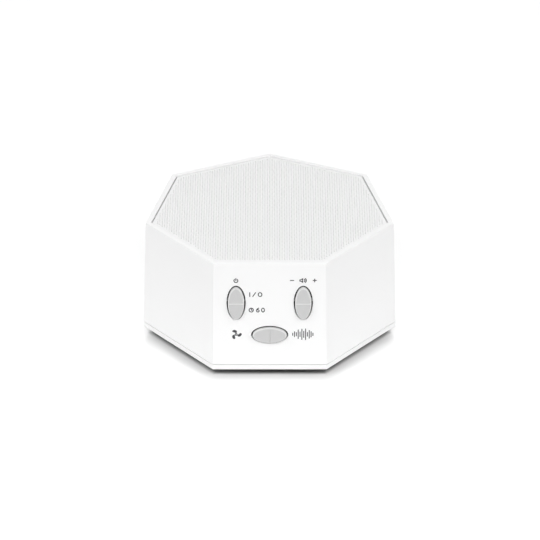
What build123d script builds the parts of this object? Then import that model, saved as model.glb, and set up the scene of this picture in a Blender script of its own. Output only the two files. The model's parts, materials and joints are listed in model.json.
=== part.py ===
from build123d import *

import os
from math import cos, hypot, pi, radians, sin, sqrt, tan

# A white noise sound machine: a seven-sided housing with one loudspeaker that
# fires up through a perforated grille, and three rocker buttons in front.
# Millimetres, +Z up, front facet towards -Y. The pieces are modelled about the
# axis of the seven-sided form and moved as one when they are written, so that
# the origin is under the middle of the whole object.

# ---------------------------------------------------------------- overall form
side_count = 7
width_across_corners = 112.0  # across the two widest corners, at the foot
housing_height = 49.1
draft_deg = 1.64  # each facet leans in towards the top
wall = 2.0
corner_round = 0.5  # upright outer edges
rim_round = 0.35  # outer edge of the top rim
cut_over = 1.0  # how far a cut that goes through runs past each face

# ---------------------------------------------------------------- base and feet
foot_proud = 2.8  # how far the rubber feet stand out of the base
foot_radius = 4.5
foot_recess = 0.8
foot_chamfer = 0.4
foot_side_gap = 0.2
foot_spread_radius = 42.0
front_foot_angle = 40.0  # from straight ahead
rear_foot_angle = 25.0  # from straight back
base_thickness = 3.1
base_inset = 0.55  # the base band stands back from the housing
base_chamfer = 1.0
seam_gap = 0.4  # height of the shadow groove
seam_depth = 0.8
lip_height = 3.0
lip_thickness = 1.2
lip_gap = 0.2
hook_width = 6.0
hook_spacing = 24.0
hook_height = 5.6
hook_reach = 0.8
hook_nib = 1.2
hook_gap = 0.3

# ---------------------------------------------------------------- screws
screw_gap = 0.05  # radial, shank to its pilot hole
pass_gap = 0.25  # radial, shank to a clearance hole
base_screw_radius = 1.3
base_screw_head_radius = 2.7
base_screw_head = 1.8
base_screw_length = 10.4
base_screw_sink = 1.4  # head below the base's underside
base_boss_height = 2.4
base_boss_radius = 4.2
housing_boss_radius = 3.4
boss_circle_radius = 46.0
boss_rib = 1.4
small_screw_radius = 1.1
small_screw_head_radius = 2.2
small_screw_head = 1.5
speaker_screw_length = 5.0
pilot_spare = 1.0  # pilot holes are this much deeper than the screw

# ---------------------------------------------------------------- grille
rim_width = 2.2
grille_recess = 0.5
grille_sheet = 0.8
grille_side_gap = 0.35
grille_lip_depth = 2.4
grille_bend = 0.4
cloth_thickness = 0.4
cloth_margin = 0.5
perforation_pitch = 6.4
perforation_across = 4.0  # across the corners of a six-sided hole
perforation_border = 3.0
tab_width = 4.0
tab_foot = 2.6
tab_slot_gap = 0.3

# ---------------------------------------------------------------- baffle deck
deck_thickness = 2.4
deck_rib_height = 2.3
deck_rib = 1.4
shelf_width = 3.0
shelf_gap = 0.3
deck_mouth_gap = 0.6  # between the deck's opening and the speaker's surround

# ---------------------------------------------------------------- loudspeaker
basket_sheet = 0.9
basket_mouth_radius = 28.4
basket_seat_radius = 21.5
basket_well_radius = 17.0
basket_depth = 15.0
basket_seat_depth = 8.6
basket_window_width = 15.0
basket_window_margin = 1.0
basket_window_count = 4
ear_offset = 2.6  # from the flange's edge out to a screw's axis
ear_radius = 3.4
gasket_thickness = 1.0
gasket_width = 2.0
top_plate_radius = 20.0
top_plate_thickness = 3.0
magnet_radius = 22.5
magnet_bore_radius = 11.0
magnet_thickness = 8.0
yoke_radius = 21.0
yoke_thickness = 3.0
pole_radius = 7.0
coil_gap = 0.3  # radial running gap on each side of the coil
former_wall = 0.2
winding_build = 0.3
winding_length = 5.0
former_length = 13.0
glue_line = 0.05
cone_paper = 0.5
cone_rim_width = 1.4
surround_sheet = 0.4
roll_width = 4.4  # across the surround's half-roll
surround_flat = 2.4  # the surround's flat outer border, glued to the flange
surround_gap = 0.2  # from that border to the gasket
roll_steps = 4  # straight stretches across the half-roll
spider_sheet = 0.4
spider_waves = 2
spider_wave_height = 1.0
spider_flat = 2.6  # glued to the basket's seat
spider_collar = 1.0  # flat ring round the coil former
spider_edge_gap = 0.3
dust_cap_radius = 9.2
dust_cap_height = 2.6
cone_travel = 1.5  # each way, and the neck's height over the spider
terminal_width = 12.0
terminal_height = 7.0
terminal_thickness = 1.2
terminal_setback = 2.4  # from the flange's edge to the middle of the plate
tag_width = 2.4
tag_thickness = 0.5
tag_length = 8.4
tag_drop = 1.0  # below the flange
tag_spacing = 6.0

# ---------------------------------------------------------------- rocker buttons
rocker_length = 15.4
rocker_width = 7.1
rocker_end_radius = 1.7  # of the oval's two ends
rocker_gap = 0.6  # all round, in the panel
rocker_proud = 1.4
rocker_edge = 0.5  # round on the cap's upper edge
rocker_dip = 0.2  # how far each half falls from its end to the middle
rocker_wall = 1.2
ridge_width = 0.5
ridge_height = 0.25
web_thickness = 1.0
rocker_spacing = 29.1  # between the two upright rockers
upright_row = 30.1  # height up the facet of the two upright rockers
lying_row = 14.6  # height up the facet of the lying rocker
pivot_depth = 3.4
pivot_radius = 0.8
pivot_gap = 0.05
pivot_hub_radius = 1.3
ear_thickness = 1.4
ear_width = 4.0
ear_side_gap = 0.35
snap_mouth = 1.3
panel_gap = 0.3  # between the panel's inside and the carrier's ears
carrier_depth = 5.0
carrier_plate = 1.4
carrier_width = 44.0
carrier_low = 6.0  # lower edge, up the facet
carrier_top_gap = 0.9  # upper edge, under the deck
leg_arm = 5.0
leg_length_along = 2.0
leg_width = 1.6
leg_tip_depth = 7.0
leg_window_gap = 0.7
dome_gap = 0.1
dome_height = 1.6
dome_foot_radius = 2.2
dome_top_radius = 1.4
dome_skin = 0.5
mat_thickness = 0.8
mat_margin = 1.0
board_thickness = 1.6
panel_boss_radius = 2.6
panel_screw_length = 7.6
low_screw_spread = 17.5
low_screw_edge = 6.5  # from the carrier's lower edge up to the lower screws
high_screw_edge = 7.0  # from its upper edge down to the upper screw

# ---------------------------------------------------------------- main board
main_board_apothem = 34.0
main_board_lift = 4.0  # above the base's inside
main_screw_circle_radius = 29.0
main_screw_length = 4.0
standoff_radius = 3.0
tongue_width = 20.0
tongue_gap = 0.8  # from the tongue's end to the housing's wall
jack_side = 3  # facets counted from the front, anticlockwise seen from above
jack_width = 9.0
jack_length = 12.2
jack_height = 11.0
jack_axis_height = 6.5
jack_nose_radius = 3.9
jack_nose_gap = 0.3
jack_bore_radius = 3.0
jack_bore_depth = 9.5
jack_front_gap = 0.3  # body to the inside of the wall
jack_setback = 0.3  # nose below the outer face
jack_pin_radius = 1.05
jack_pin_root_radius = 1.5  # where the body holds it
jack_pin_setback = 1.0
jack_pin_collar_radius = 2.0
jack_pin_collar = 0.8
jack_spring_width = 2.4
jack_spring_thickness = 0.4
jack_spring_setback = 1.0  # from each end of the body's side
chip_side = 10.0
chip_thickness = 1.6
amplifier_length = 6.0
amplifier_width = 4.4
capacitor_radius = 3.6
capacitor_height = 8.0
capacitor_offset = 27.0
capacitor_spacing = 9.0
socket_width = 14.0
socket_depth = 4.0
socket_height = 3.6
control_socket_row = 15.0
main_socket_offset = 24.0
ribbon_width = 12.0
ribbon_thickness = 0.3
ribbon_bend = 2.4
header_length = 4.4
header_width = 10.0
header_height = 5.0
lead_radius = 0.6

# ---------------------------------------------------------------- worked out
speaker_radius = basket_mouth_radius + surround_flat + surround_gap + gasket_width
ear_circle_radius = speaker_radius + ear_offset
cone_edge_radius = basket_mouth_radius - roll_width

half_step = pi / side_count
corner_reach = width_across_corners / (2 * cos(half_step / 2))
foot_apothem = corner_reach * cos(half_step)
draft = radians(draft_deg)

base_low = foot_proud
base_top = base_low + base_thickness
housing_low = base_top + seam_gap
housing_top = housing_low + housing_height

grille_top = housing_top - grille_recess
grille_low = grille_top - grille_sheet
cloth_low = grille_low - cloth_thickness
deck_top = cloth_low - deck_rib_height
deck_low = deck_top - deck_thickness

flange_top = deck_low - gasket_thickness
flange_low = flange_top - basket_sheet
seat_top = flange_top - basket_seat_depth
basket_floor = flange_top - basket_depth
magnet_top = basket_floor - top_plate_thickness
magnet_low = magnet_top - magnet_thickness
yoke_low = magnet_low - yoke_thickness
deck_mouth_radius = basket_mouth_radius + surround_sheet + deck_mouth_gap
former_inner = pole_radius + coil_gap
former_outer = former_inner + former_wall
winding_outer = former_outer + winding_build
plate_bore = winding_outer + coil_gap
former_top = seat_top + spider_sheet + cone_travel
cone_neck_radius = former_outer + glue_line
cone_rise = flange_top - former_top - cone_paper

board_low = base_top + main_board_lift
board_top = board_low + board_thickness
jack_axis = board_top + jack_axis_height

dome_top_depth = leg_tip_depth + dome_gap
mat_front_depth = dome_top_depth + dome_height
board_front_depth = mat_front_depth + mat_thickness
board_back_depth = board_front_depth + board_thickness
carrier_back_depth = carrier_depth + carrier_plate
carrier_high = (deck_low - housing_low) / cos(draft) - carrier_top_gap
carrier_height = carrier_high - carrier_low
carrier_middle = (carrier_low + carrier_high) / 2
low_screw_row = carrier_low + low_screw_edge
high_screw_row = carrier_high - high_screw_edge

ridge_length = rocker_width - 2 * rocker_edge
front_reach = (
    foot_apothem
    - (lying_row - ridge_length / 2) * sin(draft)
    + (rocker_proud - rocker_dip + ridge_height) * cos(draft)
)
axis_offset = (front_reach - corner_reach) / 2


def apothem_at(height):
    """Distance from the axis to the outer face of a facet, at a height."""
    return foot_apothem - (height - housing_low) * tan(draft)


def inner_apothem_at(height):
    return apothem_at(height) - wall


opening_apothem = apothem_at(housing_top) - rim_width
grille_apothem = opening_apothem - grille_side_gap
shelf_apothem = grille_apothem - grille_sheet - shelf_gap


# ---------------------------------------------------------------- shared forms
def seven_sided(apothem):
    """A seven-sided outline with a corner at the back and a side in front."""
    return RegularPolygon(apothem / cos(half_step), side_count, rotation=90)


def prism(apothem, low, high, taper=0.0):
    outline = Plane.XY.offset(low) * seven_sided(apothem)
    return extrude(outline, amount=high - low, taper=taper)


def disc(radius, low, high):
    return Pos(0, 0, (low + high) / 2) * Cylinder(radius, high - low)


def ring(outer, inner, low, high):
    return disc(outer, low, high) - disc(inner, low, high)


def block(length, width, low, high):
    return Pos(0, 0, (low + high) / 2) * Box(length, width, high - low)


def oval(length, width, end_radius):
    """A long oval of four tangent arcs; one that is offset has the same centres."""
    run = length / 2 - end_radius
    rise = width / 2 - end_radius
    drop = (run * run - rise * rise) / (2 * rise)
    x = run + end_radius * run / hypot(run, drop)
    y = end_radius * drop / hypot(run, drop)
    arcs = [
        ThreePointArc((x, y), (0, width / 2), (-x, y)),
        ThreePointArc((-x, y), (-length / 2, 0), (-x, -y)),
        ThreePointArc((-x, -y), (0, -width / 2), (x, -y)),
        ThreePointArc((x, -y), (length / 2, 0), (x, y)),
    ]
    return make_face(Curve() + arcs)


def rocker_oval(margin):
    """The rockers' outline, grown all round by a margin."""
    return oval(
        rocker_length + 2 * margin, rocker_width + 2 * margin, rocker_end_radius + margin
    )


def turned(points):
    """A solid of revolution about +Z from (radius, height) points."""
    outline = Plane.XZ * make_face(Polyline(*points, close=True))
    return revolve(outline, axis=Axis.Z)


def facet(number):
    """The outer face of a facet: x along it, y up it from its foot, z out."""
    angle = radians(-90 + number * 360 / side_count)
    outward = (cos(angle) * cos(draft), sin(angle) * cos(draft), sin(draft))
    foot = (foot_apothem * cos(angle), foot_apothem * sin(angle), housing_low)
    return Plane(origin=foot, x_dir=(-sin(angle), cos(angle), 0), z_dir=outward)


def around(radius, degrees_from_x):
    angle = radians(degrees_from_x)
    return Pos(radius * cos(angle), radius * sin(angle), 0)


def screw(radius, length, head_radius, head):
    """A pan-head screw: its shank points up, its head is under z = 0."""
    shank = disc(radius, 0, length)
    return shank + disc(head_radius, -head, 0)


front = facet(0)
rocker_places = {
    "power_rocker": front * Pos(-rocker_spacing / 2, upright_row, 0) * Rot(0, 0, 90),
    "volume_rocker": front * Pos(rocker_spacing / 2, upright_row, 0) * Rot(0, 0, 90),
    "sound_rocker": front * Pos(0, lying_row, 0),
}
panel_screw_spots = [
    (-low_screw_spread, low_screw_row),
    (low_screw_spread, low_screw_row),
    (0, high_screw_row),
]
corner_angles = [90 + n * 360 / side_count for n in (-2, -1, 1, 2)]
base_screw_places = [around(boss_circle_radius, a) for a in corner_angles]
quarter_angles = [45, 135, 225, 315]
ear_places = [around(ear_circle_radius, a) for a in quarter_angles]
main_screw_places = [around(main_screw_circle_radius, a) for a in quarter_angles]
foot_places = [
    around(foot_spread_radius, angle)
    for angle in (
        -90 - front_foot_angle,
        -90 + front_foot_angle,
        90 - rear_foot_angle,
        90 + rear_foot_angle,
    )
]
jack_turn = Rot(0, 0, -90 + jack_side * 360 / side_count)


# ---------------------------------------------------------------- housing
def housing():
    body = prism(foot_apothem, housing_low, housing_top, draft_deg)
    uprights = body.edges().filter_by(lambda edge: abs(edge.tangent_at(0.5).Z) > 0.5)
    body = fillet(uprights, corner_round)
    body = fillet(body.edges().group_by(Axis.Z)[-1], rim_round)
    body += prism(foot_apothem - seam_depth, base_top, housing_low)
    body -= prism(inner_apothem_at(base_top), base_top, deck_low, draft_deg)
    body -= prism(opening_apothem, deck_top, housing_top)
    body += deck_supports()
    body -= disc(deck_mouth_radius, deck_low, housing_top)
    body += base_screw_posts()
    for spot in panel_screw_spots:
        body += front * Pos(*spot, 0) * disc(panel_boss_radius, -carrier_depth, -wall / 2)
    return body - housing_cuts()


def deck_supports():
    """The shelf, ribs and bosses on the deck that carry the grille."""
    shelf = prism(shelf_apothem, deck_top, cloth_low)
    shelf -= prism(shelf_apothem - shelf_width, deck_top, cloth_low)
    supports = shelf + disc(deck_mouth_radius + deck_rib, deck_top, cloth_low)
    inner = deck_mouth_radius
    outer = shelf_apothem
    rib = Pos((inner + outer) / 2, 0, 0) * block(outer - inner, deck_rib, deck_top, cloth_low)
    for number in range(side_count):
        supports += Rot(0, 0, -90 + number * 360 / side_count) * rib
    for place in ear_places:
        supports += place * disc(ear_radius, deck_top, cloth_low)
    return supports


def base_screw_posts():
    """Tall screw posts near four corners, each with a rib into its corner."""
    low = base_top + base_boss_height
    posts = None
    for angle, place in zip(corner_angles, base_screw_places):
        post = place * disc(housing_boss_radius, low, deck_low)
        reach = inner_apothem_at(deck_low) / cos(half_step) + wall / 2
        rib_low = base_top + hook_height + lip_gap
        rib = block(reach - boss_circle_radius, boss_rib, rib_low, deck_low)
        rib = Rot(0, 0, angle) * Pos((reach + boss_circle_radius) / 2, 0, 0) * rib
        posts = post + rib if posts is None else posts + post + rib
    return posts


def housing_cuts():
    cuts = []
    hole = extrude(rocker_oval(rocker_gap), amount=wall + 2 * cut_over)
    for place in rocker_places.values():
        cuts.append(place * Pos(0, 0, -wall - cut_over) * hole)
    pilot_end = board_back_depth - panel_screw_length - pilot_spare
    for spot in panel_screw_spots:
        pilot = disc(small_screw_radius + screw_gap, -carrier_depth, -pilot_end)
        cuts.append(front * Pos(*spot, 0) * pilot)
    for place in base_screw_places:
        low = base_top + base_boss_height
        top = base_low + base_screw_sink + base_screw_head + base_screw_length + pilot_spare
        cuts.append(place * disc(base_screw_radius + screw_gap, low, top))
    pilot_top = flange_low + speaker_screw_length + pilot_spare
    for place in ear_places:
        cuts.append(place * disc(small_screw_radius + screw_gap, deck_low, pilot_top))
    bore = Cylinder(jack_nose_radius + jack_nose_gap, 2 * (wall + cut_over))
    cuts.append(jack_turn * Pos(apothem_at(jack_axis), 0, jack_axis) * Rot(0, 90, 0) * bore)
    for number in range(side_count):
        slot = block(
            grille_sheet + 2 * tab_slot_gap, tab_width + 2 * tab_slot_gap, deck_low, deck_top
        )
        place = Pos(grille_apothem - grille_sheet / 2, 0, 0)
        cuts.append(Rot(0, 0, -90 + number * 360 / side_count) * place * slot)
    nib_top = base_top + hook_height
    for side in (-1, 1):
        pocket = block(
            hook_width + 2 * hook_gap,
            2 * (hook_reach + lip_gap),
            nib_top - hook_nib - hook_gap,
            nib_top + hook_gap,
        )
        cuts.append(Pos(side * hook_spacing / 2, -inner_apothem_at(nib_top), 0) * pocket)
    whole = cuts[0]
    for cut in cuts[1:]:
        whole += cut
    return whole


# ---------------------------------------------------------------- base and feet
def base_cover():
    cover = prism(foot_apothem - base_inset, base_low, base_top)
    cover = chamfer(cover.edges().group_by(Axis.Z)[0], base_chamfer)
    lip_apothem = inner_apothem_at(base_top) - lip_gap
    cover += prism(lip_apothem, base_top, base_top + lip_height)
    cover -= prism(lip_apothem - lip_thickness, base_top, base_top + lip_height)
    nib_top = base_top + hook_height
    for side in (-1, 1):
        upright = block(hook_width, lip_thickness, base_top, nib_top)
        upright = Pos(0, lip_thickness / 2 - lip_apothem, 0) * upright
        nib = block(hook_width, hook_reach, nib_top - hook_nib, nib_top)
        nib = Pos(0, -lip_apothem - hook_reach / 2, 0) * nib
        cover += Pos(side * hook_spacing / 2, 0, 0) * (upright + nib)
    for place in base_screw_places:
        cover += place * disc(base_boss_radius, base_top, base_top + base_boss_height)
    for place in main_screw_places:
        cover += place * disc(standoff_radius, base_top, board_low)
        pilot_low = board_top - main_screw_length - pilot_spare
        cover -= place * disc(small_screw_radius + screw_gap, pilot_low, board_low)
    for place in base_screw_places:
        seat = base_low + base_screw_sink + base_screw_head
        cover -= place * disc(base_screw_head_radius + pass_gap, base_low, seat)
        cover -= place * disc(base_screw_radius + pass_gap, seat, base_top + base_boss_height)
    for place in foot_places:
        cover -= place * disc(foot_radius + foot_side_gap, base_low, base_low + foot_recess)
    return cover


def rubber_feet():
    foot = disc(foot_radius, 0, foot_proud + foot_recess)
    foot = chamfer(foot.edges().group_by(Axis.Z)[0], foot_chamfer)
    return [place * foot for place in foot_places]


def base_screws():
    seat = base_low + base_screw_sink + base_screw_head
    one = screw(base_screw_radius, base_screw_length, base_screw_head_radius, base_screw_head)
    return [place * Pos(0, 0, seat) * one for place in base_screw_places]


# ---------------------------------------------------------------- grille
def speaker_grille():
    """A folded tray of sheet metal: staggered holes, side lips and bent tabs."""
    lip_low = grille_low - grille_lip_depth
    tray = prism(grille_apothem, lip_low, grille_top)
    tray = fillet(tray.edges().group_by(Axis.Z)[-1], grille_bend)
    tray -= prism(grille_apothem - grille_sheet, lip_low, grille_low)
    tab_low = deck_low - grille_sheet
    for number in range(side_count):
        stem = block(grille_sheet, tab_width, tab_low, lip_low)
        stem = Pos(grille_apothem - grille_sheet / 2, 0, 0) * stem
        toe = block(tab_foot, tab_width, tab_low, deck_low)
        toe = Pos(grille_apothem - tab_foot / 2, 0, 0) * toe
        tray += Rot(0, 0, -90 + number * 360 / side_count) * (stem + toe)
    return tray - perforations()


def perforations():
    """Six-sided holes in staggered rows, kept off the border of the sheet."""
    row_pitch = perforation_pitch * sqrt(3) / 2
    rows = int(grille_apothem / row_pitch / cos(half_step)) + 1
    limit = grille_apothem - perforation_border - perforation_across / 2
    spots = []
    for row in range(-rows, rows + 1):
        for column in range(-rows, rows + 1):
            x = (column + 0.5 * (row % 2)) * perforation_pitch
            y = row * row_pitch
            sides = [-pi / 2 + n * 2 * half_step for n in range(side_count)]
            if all(x * cos(a) + y * sin(a) < limit for a in sides):
                spots.append((x, y))
    hole = RegularPolygon(perforation_across / 2, 6, rotation=30)
    outline = Sketch() + [Pos(*spot) * hole for spot in spots]
    return extrude(Plane.XY.offset(grille_low) * outline, amount=grille_sheet)


def grille_cloth():
    return prism(grille_apothem - grille_sheet - cloth_margin, cloth_low, grille_low)


# ---------------------------------------------------------------- loudspeaker
def speaker_basket():
    sheet = basket_sheet
    slant = slant_reach()
    profile = [
        (speaker_radius, flange_top),
        (basket_mouth_radius, flange_top),
        (basket_seat_radius, seat_top),
        (basket_well_radius, seat_top),
        (basket_well_radius, basket_floor + sheet),
        (plate_bore + coil_gap, basket_floor + sheet),
        (plate_bore + coil_gap, basket_floor),
        (basket_well_radius + sheet, basket_floor),
        (basket_well_radius + sheet, seat_top - sheet),
        (basket_seat_radius + sheet * slant, seat_top - sheet),
        (basket_mouth_radius + sheet * slant, flange_low),
        (speaker_radius, flange_low),
    ]
    basket = turned(profile)
    for place, angle in zip(ear_places, quarter_angles):
        tab = disc(ear_radius, flange_low, flange_top)
        basket += place * tab
    window_low = seat_top + basket_window_margin
    window_high = flange_low - basket_window_margin
    window = block(basket_window_width, basket_window_width, window_low, window_high)
    reach = basket_seat_radius + basket_window_width / 2 - 2 * basket_window_margin
    for number in range(basket_window_count):
        turn = quarter_angles[0] + number * 360 / basket_window_count
        basket -= Rot(0, 0, turn) * Pos(reach, 0, 0) * window
    for place in ear_places:
        basket -= place * disc(small_screw_radius + pass_gap, flange_low, flange_top)
    return basket


def slant_reach():
    """How far out the slanting wall's outer side stands, per unit of its sheet."""
    run = basket_mouth_radius - basket_seat_radius
    rise = basket_seat_depth
    return sqrt(run * run + rise * rise) / rise - run / rise


def speaker_gasket():
    return ring(speaker_radius, speaker_radius - gasket_width, flange_top, deck_low)


def speaker_top_plate():
    return ring(top_plate_radius, plate_bore, magnet_top, basket_floor)


def speaker_magnet():
    return ring(magnet_radius, magnet_bore_radius, magnet_low, magnet_top)


def speaker_yoke():
    plate = disc(yoke_radius, yoke_low, magnet_low)
    return plate + disc(pole_radius, magnet_low, basket_floor)


def coil_former():
    return ring(former_outer, former_inner, former_top - former_length, former_top)


def voice_coil():
    middle = basket_floor - top_plate_thickness / 2
    low = middle - winding_length / 2
    return ring(winding_outer, former_outer + glue_line, low, low + winding_length)


def cone_top(radius):
    """Height of the cone's upper surface at a radius."""
    run = cone_edge_radius - cone_rim_width - cone_neck_radius
    return former_top + cone_rise * (radius - cone_neck_radius) / run + cone_paper


def speaker_cone():
    rim_inner = cone_edge_radius - cone_rim_width
    return turned(
        [
            (cone_neck_radius, former_top),
            (rim_inner, flange_top - cone_paper),
            (cone_edge_radius, flange_top - cone_paper),
            (cone_edge_radius, flange_top),
            (rim_inner, flange_top),
            (cone_neck_radius, former_top + cone_paper),
        ]
    )


def dust_cap():
    """A shallow dome glued to the cone over the coil."""
    foot = cone_top(dust_cap_radius) + glue_line
    crown = foot + dust_cap_height
    ball = (dust_cap_radius * dust_cap_radius / dust_cap_height + dust_cap_height) / 2
    dome = Pos(0, 0, crown - ball) * Sphere(ball)
    return dome & disc(dust_cap_radius + cut_over, foot, crown + cut_over)


def speaker_surround():
    """A half-roll ring between the cone's rim and the basket's flange."""
    low = flange_top
    high = flange_top + surround_sheet
    outer = basket_mouth_radius
    inner = cone_edge_radius
    middle = (outer + inner) / 2
    roll = (outer - inner) / 2
    crown = []
    for size in (roll + surround_sheet, roll):
        arc = []
        for step in range(roll_steps + 1):
            angle = pi * step / roll_steps
            arc.append((middle + size * cos(angle), low + size * sin(angle)))
        crown.append(arc)
    outside, inside = crown
    profile = [(outer + surround_flat, low), (outer + surround_flat, high)]
    profile += [(outside[0][0], high)] + outside[1:-1] + [(outside[-1][0], high)]
    profile += [(inner - cone_rim_width, high), (inner - cone_rim_width, low)]
    profile += list(reversed(inside))
    return turned(profile)


def speaker_spider():
    """A corrugated cloth disc that centres the coil."""
    inner = former_outer + glue_line
    outer = basket_seat_radius - spider_edge_gap
    wave_outer = basket_seat_radius - spider_flat
    wave_inner = inner + spider_collar
    pitch = (wave_outer - wave_inner) / (2 * spider_waves)
    line = [(inner, 0), (wave_inner, 0)]
    for wave in range(1, 2 * spider_waves):
        lift = spider_wave_height if wave % 2 else 0
        line.append((wave_inner + wave * pitch, lift))
    line += [(wave_outer, 0), (outer, 0)]
    lower = [(radius, seat_top + lift) for radius, lift in line]
    upper = [(radius, height + spider_sheet) for radius, height in reversed(lower)]
    return turned(lower + upper)


def speaker_terminals():
    plate = block(terminal_thickness, terminal_width, flange_low - terminal_height, flange_low)
    return Pos(terminal_setback - speaker_radius, 0, 0) * plate


tag_reach = speaker_radius - terminal_setback + (terminal_thickness + tag_thickness) / 2
tag_top = flange_low - tag_drop
tag_low = tag_top - tag_length


def speaker_tags():
    tag = block(tag_thickness, tag_width, tag_low, tag_top)
    return [Pos(-tag_reach, side * tag_spacing / 2, 0) * tag for side in (-1, 1)]


def speaker_screws():
    one = screw(
        small_screw_radius, speaker_screw_length, small_screw_head_radius, small_screw_head
    )
    return [place * Pos(0, 0, flange_low) * one for place in ear_places]


# ---------------------------------------------------------------- rocker buttons
def rocker():
    """One rocker: a hollow oval cap on a trunnion, with two legs."""
    roof = rocker_proud - rocker_wall
    foot = Pos(0, 0, -pivot_depth)
    cap = foot * extrude(rocker_oval(0), amount=rocker_proud + pivot_depth)
    cap -= rocker_valley()
    cap = fillet(cap.edges().filter_by(on_upper_outline), rocker_edge)
    cap -= foot * extrude(rocker_oval(-rocker_wall), amount=roof + pivot_depth)
    for side in (-1, 1):
        leg = block(leg_length_along, leg_width, -leg_tip_depth, roof)
        cap += Pos(side * leg_arm, 0, 0) * leg
    inside_width = rocker_width - rocker_wall
    across = foot * Rot(90, 0, 0)
    cap += block(web_thickness, inside_width, -pivot_depth, roof)
    cap += across * Cylinder(pivot_hub_radius, inside_width)
    cap += across * Cylinder(pivot_radius, rocker_width + 2 * (ear_side_gap + ear_thickness))
    ridge_top = rocker_proud - rocker_dip + ridge_height
    return cap + block(ridge_width, ridge_length, roof, ridge_top)


def rocker_valley():
    """What the two halves of the cap leave free as they fall to the middle."""
    end = rocker_length / 2
    corners = [(-end, rocker_proud), (0, rocker_proud - rocker_dip), (end, rocker_proud)]
    section = Plane.XZ * make_face(Polyline(*corners, close=True))
    return extrude(section, amount=rocker_width / 2, both=True)


def on_upper_outline(edge):
    """Whether an edge of the cap is on its upper outline, and not on the valley's line."""
    middle = edge.center()
    return middle.Z > 0 and hypot(middle.X, middle.Y) > rocker_end_radius / 2


def button_carrier():
    """The frame behind the panel: ears for the trunnions, spacers for the board."""
    plate = Pos(0, carrier_middle, 0) * block(
        carrier_width, carrier_height, -carrier_back_depth, -carrier_depth
    )
    frame = front * plate
    for spot in panel_screw_spots:
        spacer = Pos(*spot, 0) * disc(panel_boss_radius, -board_front_depth, -carrier_depth)
        frame += front * spacer
    ear_top = -(wall + panel_gap)
    for place in rocker_places.values():
        for side in (-1, 1):
            offset = rocker_width / 2 + ear_side_gap + ear_thickness / 2
            ear = block(ear_width, ear_thickness, -carrier_depth, ear_top)
            mouth = block(snap_mouth, ear_thickness, -pivot_depth, ear_top)
            bearing = Pos(0, 0, -pivot_depth) * Rot(90, 0, 0)
            bearing *= Cylinder(pivot_radius + pivot_gap, ear_thickness)
            frame += place * Pos(0, side * offset, 0) * (ear - mouth - bearing)
            window = block(
                leg_length_along + 2 * leg_window_gap,
                leg_width + 2 * leg_window_gap,
                -carrier_back_depth,
                -carrier_depth,
            )
            frame -= place * Pos(side * leg_arm, 0, 0) * window
    for spot in panel_screw_spots:
        hole = disc(small_screw_radius + pass_gap, -board_front_depth, -carrier_depth)
        frame -= front * Pos(*spot, 0) * hole
    return frame


def button_keypad():
    """A silicone mat with a hollow dome under each leg of each rocker."""
    width = carrier_width - 2 * mat_margin
    height = carrier_height - 2 * mat_margin
    mat = block(width, height, -board_front_depth, -mat_front_depth)
    mat = front * Pos(0, carrier_middle, 0) * mat
    for spot in panel_screw_spots:
        hole = disc(panel_boss_radius + panel_gap, -board_front_depth, -mat_front_depth)
        mat -= front * Pos(*spot, 0) * hole
    dome = Pos(0, 0, -mat_front_depth) * turned(
        [(0, 0), (dome_foot_radius, 0), (dome_top_radius, dome_height), (0, dome_height)]
    )
    roof_depth = dome_top_depth + dome_skin
    hollow = disc(dome_top_radius - dome_skin, -board_front_depth, -roof_depth)
    for place in rocker_places.values():
        for side in (-1, 1):
            spot = place * Pos(side * leg_arm, 0, 0)
            mat += spot * dome
            mat -= spot * hollow
    return mat


def control_board():
    board = Pos(0, carrier_middle, 0) * block(
        carrier_width, carrier_height, -board_back_depth, -board_front_depth
    )
    board = front * board
    for spot in panel_screw_spots:
        hole = disc(small_screw_radius + pass_gap, -board_back_depth, -board_front_depth)
        board -= front * Pos(*spot, 0) * hole
    return board


def control_board_screws():
    one = screw(
        small_screw_radius, panel_screw_length, small_screw_head_radius, small_screw_head
    )
    return [front * Pos(*spot, -board_back_depth) * one for spot in panel_screw_spots]


# ---------------------------------------------------------------- electronics
def main_board():
    """A seven-sided board with a tongue that carries the power socket."""
    board = prism(main_board_apothem, board_low, board_top)
    tongue_end = inner_apothem_at(board_top) - tongue_gap
    tongue = block(tongue_end, tongue_width, board_low, board_top)
    board += jack_turn * Pos(tongue_end / 2, 0, 0) * tongue
    for place in main_screw_places:
        board -= place * disc(small_screw_radius + pass_gap, board_low, board_top)
    return board


def main_board_screws():
    one = screw(
        small_screw_radius, main_screw_length, small_screw_head_radius, small_screw_head
    )
    return [place * Pos(0, 0, board_top) * Rot(180, 0, 0) * one for place in main_screw_places]


def jack_front():
    """Distance from the axis to the front of the power socket's body."""
    return inner_apothem_at(jack_axis + jack_height - jack_axis_height) - jack_front_gap


def along_jack(radius, near, far):
    """A cylinder on the power socket's axis, between two distances out."""
    bar = Pos((near + far) / 2, 0, jack_axis) * Rot(0, 90, 0) * Cylinder(radius, far - near)
    return jack_turn * bar


def nose_end():
    return apothem_at(jack_axis) - jack_setback


def jack_hollow_start():
    return nose_end() - jack_bore_depth


def dc_jack_body():
    body = Pos(jack_front() - jack_length / 2, 0, 0) * block(
        jack_length, jack_width, board_top, board_top + jack_height
    )
    body = jack_turn * body + along_jack(jack_nose_radius, jack_front(), nose_end())
    body -= along_jack(jack_bore_radius, jack_hollow_start(), nose_end())
    back = jack_front() - jack_length
    body -= along_jack(jack_pin_root_radius + screw_gap, back, jack_hollow_start())
    return body


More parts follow.
